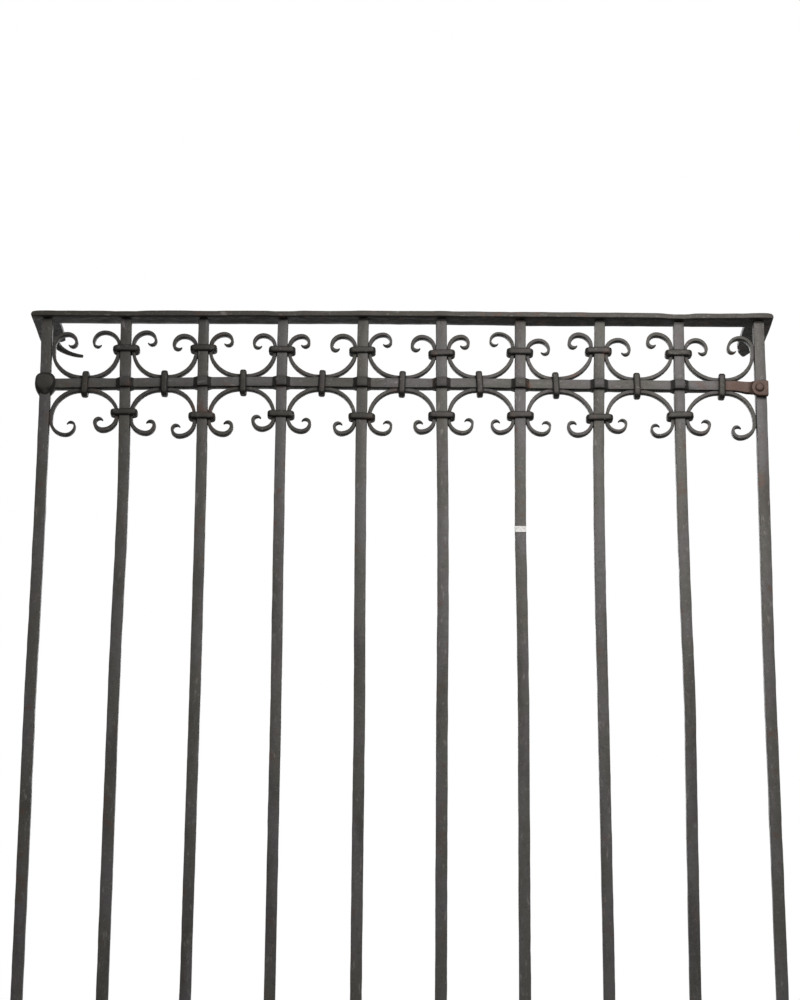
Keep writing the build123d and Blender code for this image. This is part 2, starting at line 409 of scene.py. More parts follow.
@dataclass(frozen=True)
class ForgedIron:
    """Wrought iron, hammered hot: dark scale under wax, rubbed grey, with painted shade darkening
    its sides, slopes, bevels and hollows.
    """

    name: str = "Forged iron"
    grain: Triple = (1.0, 1.0, 1.0)
    rubbed: str = "#5c5959"
    rubbed_warm: str = "#55534c"
    scale_grey: str = "#3d3a38"
    # Dark scale, also the colour of the painted shade on sides, slopes, bevels and swollen eyes
    dark_scale_and_shade: str = "#242220"
    worn: str = "#8f8b87"
    rust: str = "#5a443a"
    # Dirt in joints, also the colour of the painted shade in corners, recesses and hollows
    dirt_and_shade: str = "#131110"
    rust_from: float = 0.62
    # Distance from the bars' centres, to the front or back, past which the iron gets painted shade
    # in the dark scale colour
    proud_from: float = 1.0
    metallic: float = 0.1
    specular: float = 0.12
    roughness: float = 0.52
    blow_mm: float = 16.0
    cloud_mm: float = 60.0
    spot_mm: float = 7.0
    pit_mm: float = 2.2

    def build(self) -> bpy.types.Material:
        """Make the material.

        Returns:
            A material on Object coordinates.
        """
        material = bpy.data.materials.new(self.name)
        tree = empty_tree(material)
        coordinates = add_node(tree, "TexCoord")
        place = coordinates.outputs["Object"]
        # The iron's fibres run along the bar that it was drawn from
        fibres = add_node(tree, "Mapping", {"Vector": place, "Scale": self.grain})
        # Each row has a pattern's size and detail, and a number that sets it apart
        fields = {}
        for name, where, size_mm, detail, pattern in (
            ("cloud", fibres, self.cloud_mm, 4.0, 0.0),
            ("warm", fibres, self.cloud_mm * 0.7, 2.0, 3.1),
            ("rust", place, self.cloud_mm * 0.5, 5.0, 7.3),
            ("spot", fibres, self.spot_mm, 4.0, 1.7),
            ("speck", place, self.spot_mm * 0.6, 3.0, 5.9),
            ("pit", place, self.pit_mm, 2.0, 0.0),
        ):
            inputs = {"Vector": where, "W": pattern, "Detail": detail, "Roughness": 0.62}
            inputs["Scale"] = 1 / (size_mm * MM)
            fields[name] = add_node(tree, "TexNoise", inputs, noise_dimensions="4D")
        for name, source in (("facing", coordinates.outputs["Normal"]), ("depth", place)):
            parts = add_node(tree, "SeparateXYZ", {0: source})
            fields[name] = add_node(tree, "Math", {0: parts.outputs[1]}, operation="ABSOLUTE")
        sharp = add_node(tree, "NewGeometry").outputs["Pointiness"]
        edge = add_node(tree, "Math", {0: sharp, 1: fields["spot"]}, operation="MULTIPLY")
        # Ambient occlusion mask: paints shade, with some dirt, into corners, recesses and joints
        air = add_node(tree, "AmbientOcclusion", {"Distance": 18 * MM}, samples=6).outputs["AO"]
        # Faces that look to the front or back keep the rubbed colour, while sides, bevels, slopes
        # and undersides get painted shade in the dark scale colour. Rust shows where the wax has
        # gone, edges are rubbed bright, and ambient occlusion paints dirt and shade where pieces
        # meet and in hollows.
        # Each row has the values at which a colour starts and is full, and its greatest share.
        layers = (
            (fields["warm"], 0.42, 0.58, self.rubbed_warm, 0.8),
            (fields["cloud"], 0.46, 0.7, self.scale_grey, 0.6),
            (fields["spot"], 0.54, 0.76, self.worn, 0.2),
            (fields["speck"], 0.58, 0.72, self.worn, 0.3),
            (fields["speck"], 0.42, 0.3, self.dark_scale_and_shade, 0.35),
            (fields["spot"], 0.46, 0.28, self.scale_grey, 0.35),
            # Painted shade: faces that turn away from the front and back are darkened
            (fields["facing"], 0.95, 0.8, self.dark_scale_and_shade, 0.92),
            (fields["rust"], self.rust_from - 0.06, self.rust_from + 0.1, self.rust, 0.7),
            # Painted shade on whatever stands out past proud_from, such as the rails' swollen eyes
            (fields["depth"], self.proud_from, self.proud_from + 3 * MM, self.dark_scale_and_shade, 0.45),
            (edge, 0.31, 0.38, self.worn, 0.38),
            (air, 0.85, 0.4, self.dirt_and_shade, 0.85),
        )
        colour = linear(self.rubbed)
        for source, low, high, over, most in layers:
            inputs = {"Value": source, "From Min": low, "From Max": high, "To Max": most}
            share = add_node(tree, "MapRange", inputs, interpolation_type="SMOOTHSTEP")
            inputs = {0: share, 6: colour, 7: linear(over)}
            colour = add_node(tree, "Mix", inputs, data_type="RGBA").outputs[2]
        inputs = {"Value": fields["spot"], "From Min": 0.3, "From Max": 0.7}
        inputs |= {"To Min": self.roughness - 0.08, "To Max": self.roughness + 0.16}
        rough = add_node(tree, "MapRange", inputs)
        # Broad hammer marks, and fine pits from old rust
        inputs = {"Vector": place, "Scale": 1 / (self.blow_mm * MM), "Smoothness": 1.0}
        blows = add_node(tree, "TexVoronoi", inputs, feature="SMOOTH_F1").outputs["Distance"]
        marks = add_node(tree, "Bump", {"Height": blows, "Strength": 0.5, "Distance": 1.5 * MM})
        inputs = {"Height": fields["pit"], "Strength": 0.6, "Distance": 0.5 * MM, "Normal": marks}
        inputs = {
            "Base Color": colour,
            "Metallic": self.metallic,
            "Specular IOR Level": self.specular,
            "Roughness": rough,
            "Normal": add_node(tree, "Bump", inputs),
        }
        shader = add_node(tree, "BsdfPrincipled", inputs)
        add_node(tree, "OutputMaterial", {"Surface": shader})
        return material


@dataclass(frozen=True)
class WaxedIron(ForgedIron):
    """Forged iron where rags never reach: the old wax has kept its scale almost black."""

    name: str = "Forged iron under old wax"
    rubbed: str = "#44413f"
    rubbed_warm: str = "#413f39"
    scale_grey: str = "#302d2b"
    worn: str = "#7d7975"


@dataclass(frozen=True)
class RustyIron(ForgedIron):
    """Iron that was never waxed again, under an even film of brown rust."""

    name: str = "Rusted iron"
    rubbed: str = "#60514c"
    rubbed_warm: str = "#594840"
    scale_grey: str = "#463a35"
    dark_scale_and_shade: str = "#32271f"
    worn: str = "#87776f"
    rust: str = "#5e493f"
    rust_from: float = 0.54
    metallic: float = 0.05
    roughness: float = 0.68
    cloud_mm: float = 24.0
    spot_mm: float = 4.0


@dataclass(frozen=True)
class PaperTape:
    """Blank paper tape, rubbed and slightly grey, with the creases of the iron under it."""

    name: str = "Paper tape"
    paper: str = "#dedcd9"
    soiled: str = "#b4b1ac"
    crease_mm: float = 3.0

    def build(self) -> bpy.types.Material:
        """Make the material.

        Returns:
            A material on Object coordinates.
        """
        material = bpy.data.materials.new(self.name)
        tree = empty_tree(material)
        place = add_node(tree, "TexCoord").outputs["Object"]
        inputs = {"Vector": place, "Scale": 1 / (self.crease_mm * MM), "Detail": 4.0}
        crease = add_node(tree, "TexNoise", inputs).outputs[0]
        soil = add_node(tree, "MapRange", {"Value": crease, "From Min": 0.45, "From Max": 0.75})
        inputs = {0: soil, 6: linear(self.paper), 7: linear(self.soiled)}
        colour = add_node(tree, "Mix", inputs, data_type="RGBA").outputs[2]
        bump = add_node(tree, "Bump", {"Height": crease, "Strength": 0.5, "Distance": 0.4 * MM})
        inputs = {"Base Color": colour, "Roughness": 0.75, "Normal": bump}
        add_node(tree, "OutputMaterial", {"Surface": add_node(tree, "BsdfPrincipled", inputs)})
        return material


@dataclass(frozen=True)
class Curl:
    """One curl of a scroll, in millimetres."""

    crown: float
    side: float
    straight: float
    weight: float
    # Extra height of the scroll's shoulder
    lift: float = 0.0


@dataclass(frozen=True)
class Bay:
    """How the scrolls between two bars turned out, in millimetres."""

    # Number of the bar on its left
    number: int
    slip: float
    # Way that the rail strays up or down here
    sway: float
    # Left and right curl of the scroll above the rail, and of the one below it
    upper: tuple[Curl, Curl]
    lower: tuple[Curl, Curl]

    def middle(self) -> float:
        """Place along the wall where the scrolls touch the rail."""
        return (bar_x(self.number) + bar_x(self.number + 1)) / 2 + self.slip * MM


@dataclass(frozen=True)
class Band:
    """A rail with what is on it, and how it turned out."""

    name: str
    level: float
    # 1 for the right way up, and -1 for its mirror image
    up: int
    # Way that the rail strays up or down, from left to right
    strays_mm: Sequence[float]
    bays: Sequence[Bay]
    # Shift upwards of the collar above the rail on each inner bar, and of the one below it
    upper_mm: Sequence[float] = (0.0,) * (BAR_COUNT - 2)
    lower_mm: Sequence[float] = (0.0,) * (BAR_COUNT - 2)


@dataclass
class SubAssembly:
    """Pieces of the grille that are made alike and wear one finish."""

    finish: bpy.types.Material
    slot: str = "forged_iron"
    # For each pass of the hammer, distance between blows and height that they leave
    blows_mm: tuple = ()
    # Turn in degrees from which an edge looks sharp
    sharp: float = 32.0

    def hand_over(self, piece: Workpiece, *nodes: str) -> None:
        """Hammer, smooth and dress a piece, and let it stand for its CAD nodes.

        Args:
            piece: The closed piece, selected and active.
            *nodes: Names of the nodes that it stands for.
        """
        for grain_mm, depth_mm in self.blows_mm:
            piece.hammer(grain_mm, depth_mm)
        bpy.ops.object.shade_smooth_by_angle(angle=math.radians(self.sharp))
        piece.obj.data.materials.clear()
        piece.obj.data.materials.append(self.finish)
        if nodes:
            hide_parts(*nodes)
        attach(piece.obj, "root")
        faces = len(piece.obj.data.polygons)
        log.info("%s, %d faces, for %s", piece.obj.name, faces, ", ".join(nodes) or "no node")


@dataclass
class Bars(SubAssembly):
    """Square bars, drawn by hand, that bow a little between the flats."""

    blows_mm: tuple = ((45, 1.1), (14, 0.5))
    side: float = 20 * MM
    edge: float = 2 * MM
    foot: float = 14.5 * MM
    shoulder: float = 1635.5 * MM
    tenon: float = 14 * MM
    top_tenon: float = 14.5 * MM
    foot_tenon: float = 14 * MM
    head: float = 23 * MM
    head_height: float = 2.3 * MM
    cage: Triple = (0.1, 0.1, 1.65)
    # Width of each bar in parts of the side
    girths: tuple = (1.0, 1.02, 0.99, 0.99, 1.04, 1.06, 1.03, 1.0, 0.99, 1.03)
    # Way that each bar strays sideways, at the top and then every 150 mm down
    bows_mm: tuple = (
        (-1.6, 0, 0.7, 0.6, -0.1, -1.2),
        (-2.4, 0, 3.0, 3.3, 1.0, 0),
        (-1.6, 0, 1.7, 2.1, 2.1, 1.8),
        (0.7, 0, -0.1, 0, 0.5, 1.1),
        (1.1, 0, -0.8, -0.4, 0, 1.2),
        (-0.6, 0, 1.9, 2.8, 2.9, 1.6),
        (1.5, 0, -0.9, -1.3, 0.4, 1.5),
        (3.5, 0, -3.0, -3.7, -3.5, -2.2),
        (1.7, 0, -0.3, 0.4, 2.1, 4.2),
        (0, 0, -0.5, -1.4, -2.5, -2.4),
    )
    # Below those the bar straightens: its stray in parts of the last one, from the foot up
    fades: tuple = (0.15, 0.4, 0.7)

    def forge(self) -> Workpiece:
        """Make the bar that the others are copied from, at the middle of the wall.

        Returns:
            The closed bar, with a tenon at each end and its head peened over on top.
        """
        size = (self.side, self.side, self.shoulder - self.foot)
        bar = Workpiece.block("bar pattern", size, (0, 0, (self.shoulder + self.foot) / 2))
        bar.divide_along(0, 2)
        bar.divide_along(1, 2)
        half = self.side / 2 - CLOSE
        bar.pick(Pick.EDGES, lambda m, way: abs(way.z) > 0.99 and min(abs(m.x), abs(m.y)) > half)
        bpy.ops.mesh.bevel(offset=self.edge, segments=2, affect="EDGES")
        bar.divide_along(2, 9, 15)
        shrink, spread, height = self.tenon / self.side, self.head / self.tenon, self.head_height
        head = ((0, spread), (height * 0.35, 1), (height * 0.45, 0.84), (height * 0.2, 0.6))
        for up, end, steps in (
            (1, self.shoulder, ((0, shrink), (self.top_tenon, 1), *head)),
            (-1, self.foot, ((0, shrink), (self.foot_tenon, 1))),
        ):
            bar.pick_end(2, up)
            for rise, grow in steps:
                bar.extrude((0, 0, up * rise), (grow, grow, 1), (0, 0, end))
        bar.close()
        return bar

    def build(self) -> None:
        """Make, place and bow the ten bars."""
        pattern = self.forge()
        for number, (girth, bow) in enumerate(zip(self.girths, self.bows_mm), 1):
            node = f"bar_{number:02d}"
            x = bar_x(number)
            place = Matrix.Translation((x, 0, 0)) @ Matrix.Scale(girth, 4, (1, 0, 0))
            bar = pattern.copy(f"forged_{node}", place)
            strays = (0, 0, 0, *(bow[-1] * fade for fade in self.fades), *reversed(bow))
            centre = (x, 0, self.cage[2] / 2)
            bar.bend_in_cage(centre, self.cage, (1, 1, len(strays)), 0, strays)
            self.hand_over(bar, node)
        pattern.discard()


class Tail(Enum):
    """What is left of the split end of an arm."""

    WHOLE = "both tines whole"
    HOOKED = "one long tine between two breaks"
    STUBBED = "broken off to a ragged stub"


@dataclass
class Arm:
    """End of one arm of a frame that is open in edit mode."""

    piece: Workpiece
    # -1 for the left arm and 1 for the right one
    side: int
    # Distance of its outer side from the middle of the wall, how far back it ends, and its level
    outer: float
    end: float
    level: float
    thinning: float = 0.97
    tine_turn: float = 76.0
    tine_steps: int = 10
    tine_taper: Triple = (0.95, 0.95, 0.935)
    tip_taper: Triple = (0.8, 0.8, 0.935)

    def spot(self, across_mm: float, back_mm: float) -> Vector:
        """Place at a distance from the arm's outer side and from the bars' centres."""
        return Vector((self.side * (self.outer - across_mm * MM), back_mm * MM, self.level))

    def draw_out(self, near: float, far: float, *steps_mm: Triple) -> None:
        """Draw part of the end out, step by step.

        Args:
            near: Distance in mm from the arm's outer side at which the part starts.
            far: Distance in mm at which it stops.
            *steps_mm: How far back each step ends, and between which distances.
        """
        self.piece.pick(
            Pick.FACES,
            lambda m, n: n.y > 0.9
            and m.y > self.end - MM
            and near * MM < self.outer - self.side * m.x < far * MM,
        )
        start, stop, back = near, far, self.end / MM
        for end, first, last in steps_mm:
            shift = (first + last - start - stop) / 2
            grow = ((last - first) / (stop - start), 1, self.thinning)
            by = (-self.side * shift * MM, (end - back) * MM, 0)
            self.piece.extrude(by, grow, self.spot((first + last) / 2, end))
            start, stop, back = first, last, end

    def swing_tine(self, across_mm: float, back_mm: float, radius: float, droop: float) -> None:
        """Draw the selected end faces out into a long tapered tine that bends inwards.

        Args:
            across_mm: Distance from the arm's outer side to the middle of the faces.
            back_mm: How far back they are.
            radius: Radius of the bend.
            droop: How far the tine's tip hangs.
        """
        pivot = self.spot(across_mm, back_mm) - Vector((self.side * radius, 0, 0))
        turn = math.radians(self.tine_turn) / self.tine_steps
        sunk = 0.0
        for step in range(1, self.tine_steps + 1):
            self.piece.swing(self.side * turn, pivot, (0, 0, -1))
            # The tine leaves the arm at a slope and levels out towards its tip
            drop = droop * (2 * (self.tine_steps - step) + 1) / self.tine_steps**2
            self.piece.move((0, 0, -drop))
            sunk += drop
            swung = turn * step
            arm = Vector((self.side * radius * math.cos(swung), radius * math.sin(swung), -sunk))
            taper = self.tip_taper if step == self.tine_steps else self.tine_taper
            self.piece.grow(taper, pivot + arm)

    def finish(self, tail: Tail) -> None:
        """Draw out what is left of the arm's split end.

        Args:
            tail: State of the end.
        """
        if tail is Tail.HOOKED:
            self.draw_out(20, 30, (129, 19.5, 34.0), (137, 21.0, 34.5))
            self.swing_tine(27.75, 137, 62 * MM, 8 * MM)
            # The breaks on both sides of the tine are ragged
            for across, back, inwards in ((10, 8, 3), (40, 5, 0), (50, -4, -1)):
                corner = self.spot(across, self.end / MM)
                self.piece.pick(Pick.CORNERS, lambda p, n: (p - corner).xy.length < MM)
                self.piece.move((-self.side * inwards * MM, back * MM, 0))
        elif tail is Tail.WHOLE:
            self.draw_out(40, 50, (127, 38.5, 50.0))
            self.swing_tine(44.25, 127, 79 * MM, 0)
            outer_tine = ((138, 0, 18), (150, 0, 16.5), (162, 0, 14.5), (174, 0.3, 12.5))
            self.draw_out(0, 20, *outer_tine, (186, 1, 10), (194, 2, 7.5))
        else:
            stub = ((131, 11, 49.5), (141, 13, 49), (150, 16, 43.5), (160, 18.5, 45.5))
            self.draw_out(10, 50, *stub, (170, 21.5, 42.5), (181, 25.5, 38), (190, 29, 33))


@dataclass
class Frame(SubAssembly):
    """Flat along the front, and the two arms that go back from its ends into the wall."""

    blows_mm: tuple = ((60, 1.1), (17, 0.6))
    half_length: float = 704.4 * MM
    front: float = -23 * MM
    rear: float = 23 * MM
    thickness: float = 10 * MM
    arm_width: float = 50 * MM
    arm_end: float = 123 * MM
    arm_steps: int = 8
    edge: float = 1.4 * MM
    # At each bar, how far the front swells, over which half width, and where that fades out
    swell: Triple = (1.8 * MM, 13 * MM, 16 * MM)
    # Half width over which the top sinks there, and where that fades out
    sink_half: float = 11 * MM
    sink_reach: float = 26 * MM
    # How far a front corner of the top was beaten inwards and down
    blunted: float = 3 * MM
    lowered: float = 1.6 * MM
    bar_tops: Sequence[float] = ()
    # How deep the top is beaten down at each bar
    sinks_mm: Sequence[float] = ()
    # Way that the front and the rear edge stray up or down, from left to right
    front_mm: Sequence[float] = ()
    rear_mm: Sequence[float] = ()

    def build(self, band: Band, low: float, tails: tuple[Tail, Tail]) -> None:
        """Make one frame in one piece.

        Args:
            band: The band of scrolls that is next to it.
            low: Level of its underside.
            tails: State of the left and right arm's end.
        """
        size = (2 * self.half_length, self.rear - self.front, self.thickness)
        level, top = low + self.thickness / 2, low + self.thickness
        piece = Workpiece.block(f"forged_{band.name}_frame", size, (0, 0, level))
        piece.divide_along(0, 47, 3)
        piece.divide_along(1, 4)
        piece.divide_along(2, 2)
        self.beat_down(piece, top)
        inner = self.half_length - self.arm_width
        behind = self.rear - MM
        piece.pick(Pick.FACES, lambda m, n: n.y > 0.9 and abs(m.x) > inner and m.y > behind)
        for _ in range(self.arm_steps):
            piece.extrude((0, (self.arm_end - self.rear) / self.arm_steps, 0))
        outer = self.half_length - MM
        for side, tail in zip((-1, 1), tails):
            Arm(piece, side, self.half_length, self.arm_end, level).finish(tail)
            piece.pick(
                Pick.CORNERS, lambda p, n: side * p.x > outer and p.y < 0 and p.z > top - MM
            )
            piece.move((-side * self.blunted, 0, -self.lowered))
        piece.mend()
        strays = (*self.front_mm, *self.rear_mm)
        piece.bend_in_cage((0, 0, level), size, (len(self.front_mm), 2, 1), 2, strays)
        piece.ease_edges(self.edge, 40)
        parts = ("flat", "left_arm", "right_arm")
        self.hand_over(piece, *(f"{band.name}_{part}" for part in parts))

    def beat_down(self, piece: Workpiece, top: float) -> None:
        """Swell the flat's front edge and sink its top where each bar was riveted.

        Args:
            piece: The flat in edit mode.
            top: Level of its top.
        """
        edge, face = self.front + 0.1 * MM, top - 0.1 * MM
        swell, swell_half, swell_reach = self.swell
        for x, sink in zip(self.bar_tops, self.sinks_mm):
            piece.pick(Pick.CORNERS, lambda p, n: abs(p.x - x) < swell_half and p.y < edge)
            piece.move((0, -swell, 0), swell_reach)
            piece.pick(
                Pick.CORNERS,
                lambda p, n: abs(p.x - x) < self.sink_half and p.y < 0 and p.z > face,
            )
            piece.move((0, 0, -sink * MM), self.sink_reach)


@dataclass
class Rails(SubAssembly):
    """Rails with an eye swollen round each bar and a heavy knuckle at the ends."""

    blows_mm: tuple = ((40, 1.0), (13, 0.6))
    height: float = 18.8 * MM
    depth: float = 20 * MM
    edge: float = 1.6 * MM
    cheek: float = 9.3 * MM
    # Distances from a bar's middle at which its eye's face, slope and foot end
    eye: Triple = (9 * MM, 12.8 * MM, 17.5 * MM)
    # Distance between plain cuts, and the least from one to a bar and to the rail's end
    spacing: float = 12 * MM
    bar_clear: float = 22 * MM
    end_clear: float = 5 * MM
    knuckle: Triple = (40 * MM, 40 * MM, 48 * MM)
    knuckle_sag: float = 1.5 * MM
    knuckle_edge: float = 8 * MM
    knuckle_blows_mm: tuple = (18, 2.0)
    # Height and rise of a knuckle's core in parts of its height
    core: tuple = (0.3, 0.06)
    # Rise and width of each step in parts of its size, towards its blunt and its thin end
    blunt: tuple = ((0.16, 0.86), (0.13, 0.66))
    thin: tuple = ((0.16, 0.84), (0.14, 0.74), (0.11, 0.78))
    hole: float = 20.8 * MM
    cage: Triple = (1.41, 0.1, 0.1)

    def build(self, band: Band, end: float, knuckles: Sequence[float]) -> None:
        """Make one rail.

        Args:
            band: The band that it carries.
            end: Place along the wall of its right end.
            knuckles: Places of the knuckles.
        """
        start, level = bar_x(1), band.level
        size = (end - start, self.depth, self.height)
        name = f"{band.name}_rail"
        rail = Workpiece.block(f"forged_{name}", size, ((start + end) / 2, 0, level))
        bars = [x for x in map(bar_x, range(1, BAR_COUNT + 1)) if x < end + MM]
        eyes = [x for x in bars if x not in knuckles]
        cuts = {x + way * reach for x in eyes for way in (-1, 0, 1) for reach in self.eye}
        place = start + self.spacing
        while place < end - self.end_clear:
            if all(abs(place - x) > self.bar_clear for x in eyes):
                cuts.add(place)
            place += self.spacing
        for place in sorted(cuts):
            if start + MM < place < end - MM:
                rail.cut_across(place)
        rail.divide_along(2, 2)
        rail.divide_along(1, 2)
        for x in eyes:
            self.swell_eye(rail, x, level)
        rail.close()
        rail.ease_edges(self.edge, 30)
        for x in knuckles:
            self.add_knuckle(rail, x, level - band.up * self.knuckle_sag, band.up)
        for x in bars:
            drift = Workpiece.block("drift", (self.hole, self.hole, 0.1), (x, 0, level))
            drift.close()
            rail.combine(drift, "DIFFERENCE")
        counts = (len(band.strays_mm), 1, 1)
        rail.bend_in_cage((0, 0, level), self.cage, counts, 2, band.strays_mm)
        self.hand_over(rail, name)

    def swell_eye(self, rail: Workpiece, x: float, level: float) -> None:
        """Push the rail's front and back out round a bar, most at mid height.

        Args:
            rail: The rail in edit mode.
            x: Place of the bar.
            level: Middle level of the rail.
        """
        face = self.depth / 2 - 0.1 * MM
        # Distances from the bar's middle and from mid height, and how far out in parts of a cheek
        pushes = ((0, 11, 20, 0.8), (12, 14, 20, 0.42), (0, 11, 1, 0.2))
        for way in (-1, 1):
            for near, far, tall, share in pushes:
                rail.pick(
                    Pick.CORNERS,
                    lambda p, n: p.y * way > face
                    and near * MM <= abs(p.x - x) < far * MM
                    and abs(p.z - level) < tall * MM,
                )
                rail.move((0, way * self.cheek * share, 0))

    def add_knuckle(self, rail: Workpiece, x: float, level: float, up: int) -> None:
        """Weld a lumpy knuckle on round an end bar.

        Args:
            rail: The closed rail.
            x: Place of the bar.
            level: Level of the knuckle's middle.
            up: 1 if its blunt end is on top, and -1 if its thin end is.
        """
        wide, deep, tall = self.knuckle
        height, rise = (tall * share for share in self.core)
        boss = Workpiece.block("knuckle", (wide, deep, height), (x, 0, level + up * rise))
        for way, steps in ((up, self.blunt), (-up, self.thin)):
            boss.pick_end(2, way)
            for rise, width in steps:
                boss.extrude((0, 0, way * tall * rise), (width, width, 1), (x, 0, level))
        boss.pick(
            Pick.EDGES, lambda m, way: abs(m.x - x) > wide * 0.2 and abs(m.y) > deep * 0.2
        )
        bpy.ops.mesh.bevel(
            offset=self.knuckle_edge, segments=2, affect="EDGES", clamp_overlap=True
        )
        boss.close()
        boss.modify("SUBSURF", levels=2, render_levels=2)
        boss.hammer(*self.knuckle_blows_mm)
        rail.combine(boss, "UNION")


@dataclass
class Scrolls(SubAssembly):
    """C scrolls of flat bar, each drawn down and curled by eye over a horn."""

    blows_mm: tuple = ((22, 0.7),)
    width: float = 14 * MM
    thickness: float = 6.5 * MM
    edge: float = 1.1 * MM
    # Way into the curl, thickness in parts of the curl's weight, and width in parts of the bar's
    taper: tuple = (
        (0.0, 1.0, 1.0),
        (0.27, 1.0, 1.12),
        (0.54, 0.86, 1.08),
        (0.81, 0.7, 0.86),
        (1.0, 0.3, 0.34),
    )
    clearance: float = 0.2 * MM
    start: float = 6.5 * MM
    shoulder: float = 53 * MM
    hook: float = 8 * MM
    bend: float = 60.0
    hook_turn: float = 152.0
    bar_half: float = 10 * MM
    rail_half: float = 9 * MM

    def runs(self, reach: float, curl: Curl, lift: float) -> list[tuple[float, float, int]]:
        """Half a scroll's centre line.

        Args:
            reach: Distance from the scroll's middle to where it stands against the bar.
            curl: Sizes of its curl.
            lift: Extra height of its shoulder over its foot.

        Returns:
            Radius, turn in degrees and number of steps of each run, or length, 0 and 1.
        """
        s = math.sin(math.radians(self.bend))
        c = math.cos(math.radians(self.bend))
        across = reach - self.start
        rise = self.shoulder - self.thickness / 2 + lift
        # Radii of the two arcs that together reach the bar and the shoulder's height
        spread = s * c - (1 - s) * (1 - c)
        low_radius = (across * c - rise * (1 - s)) / spread
        high_radius = (rise * s - across * (1 - c)) / spread
        return [
            (low_radius, self.bend, 7),
            (high_radius, 90 - self.bend, 3),
            (curl.straight * MM, 0.0, 1),
            (curl.crown * MM, 90.0, 9),
            (curl.side * MM, 90.0, 8),
            (self.hook, self.hook_turn, 11),
        ]

    def forge(self, level: float, bay: Bay, up: int) -> Workpiece:
        """Make one scroll between two bars.

        Args:
            level: Level of the rail's middle where the rail is straight.
            bay: How the bay turned out.
            up: 1 above the rail and -1 below it.

        Returns:
            The closed scroll.
        """
        middle, sway = bay.middle(), bay.sway * MM
        level += sway + up * (self.rail_half + self.clearance + self.thickness / 2)
        size = (2 * self.start, self.width, self.thickness)
        scroll = Workpiece.block("scroll", size, (middle, 0, level))
        gap = self.bar_half + self.clearance + self.thickness / 2
        left, right = bay.upper if up > 0 else bay.lower
        for side, curl, bar in ((1, right, bay.number + 1), (-1, left, bay.number)):
            reach = side * (bar_x(bar) - middle) - gap
            point = Vector((middle + side * self.start, 0, level))
            runs = self.runs(reach, curl, curl.lift * MM - up * sway)
            self.curl_end(scroll, side, up, point, runs, curl.weight * MM)
        scroll.mend()
        scroll.ease_edges(self.edge, 40)
        return scroll

    def curl_end(
        self,
        scroll: Workpiece,
        side: int,
        up: int,
        point: Vector,
        runs: list[tuple[float, float, int]],
        weight: float,
    ) -> None:
        """Draw one end of the bar out along its runs.

        Args:
            scroll: The scroll in edit mode.
            side: 1 for the right end and -1 for the left one.
            up: 1 above the rail and -1 below it.
            point: Middle of the end face.
            runs: The centre line's runs.
            weight: Thickness of the bar at the curl's crown.
        """
        scroll.pick(Pick.FACES, lambda m, n: n.x * side > 0.99 and (m - point).length < 2 * MM)
        heading = 0.0
        thickness, width = self.thickness, self.width

        def inwards() -> Vector:
            """Way from the bar to the middle of the bend."""
            return Vector((-side * math.sin(heading), 0, up * math.cos(heading)))

        for size, turn, steps in runs:
            if turn == 0:
                along = Vector((side * math.cos(heading), 0, up * math.sin(heading))) * size
                scroll.extrude(along)
                point = point + along
                continue
            step = math.radians(turn / steps)
            for _ in range(steps):
                pivot = point + inwards() * size
                scroll.swing(step, pivot, (0, side * up, 0))
                heading += step
                point = pivot - inwards() * size
                thinner, narrower = self.section(heading, weight)
                flat = thinner / thickness
                scroll.grow((flat, narrower / width, flat), point)
                thickness, width = thinner, narrower

    def section(self, heading: float, weight: float) -> tuple[float, float]:
        """Size of the bar on its way into a curl.

        Args:
            heading: Angle that the bar has turned by, in radians.
            weight: Thickness of the bar at the curl's crown.

        Returns:
            The thickness and the width.
        """
        inside = max(0.0, heading - math.radians(90)) / math.radians(180 + self.hook_turn)
        for (start, thick, wide), (stop, next_thick, next_wide) in zip(self.taper, self.taper[1:]):
            if inside <= stop + 1e-6:
                share = (inside - start) / (stop - start)
                thickness = weight * (thick + (next_thick - thick) * share)
                if start == 0.0:
                    thickness += (self.thickness - weight) * (1 - share)
                return thickness, self.width * (wide + (next_wide - wide) * share)
        return self.thickness, self.width

    def build(self, band: Band) -> None:
        """Make a band's scrolls, one piece for the pair in each bay.

        Args:
            band: The band.
        """
        for bay in band.bays:
            node = f"{band.name}_scrolls_{bay.number}"
            pair = [self.forge(band.level, bay, up) for up in (1, -1)]
            self.hand_over(join(f"forged_{node}", pair), node)


